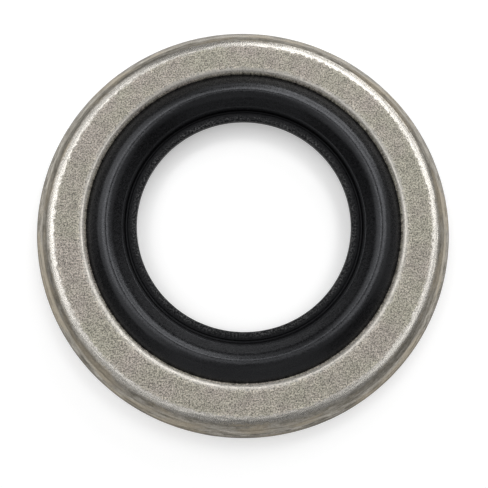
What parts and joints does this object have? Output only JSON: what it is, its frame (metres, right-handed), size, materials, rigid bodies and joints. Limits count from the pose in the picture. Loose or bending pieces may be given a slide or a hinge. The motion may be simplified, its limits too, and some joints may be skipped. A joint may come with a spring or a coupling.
{
  "type": "bonded sealing washer",
  "caption": "Flat metal ring with a rubber sealing bead bonded round its bore and a thin centring lip that grips the bolt.",
  "frame": {"origin": "centre of the bore, halfway through the washer's thickness", "axes": "+Z along the bore axis, out of the face whose outer edge is rolled; X and Y lie in the washer's mid-plane"},
  "size_m": [0.024, 0.024, 0.0024],
  "materials": {
    "plated_steel": "tumbled matte plated steel with a fine grain",
    "black_rubber": "moulded black nitrile rubber with a soft sheen"
  },
  "bodies": {
    "root": {"metal_ring": "plated_steel", "rubber_seal": "black_rubber"}
  },
  "joints": []
}
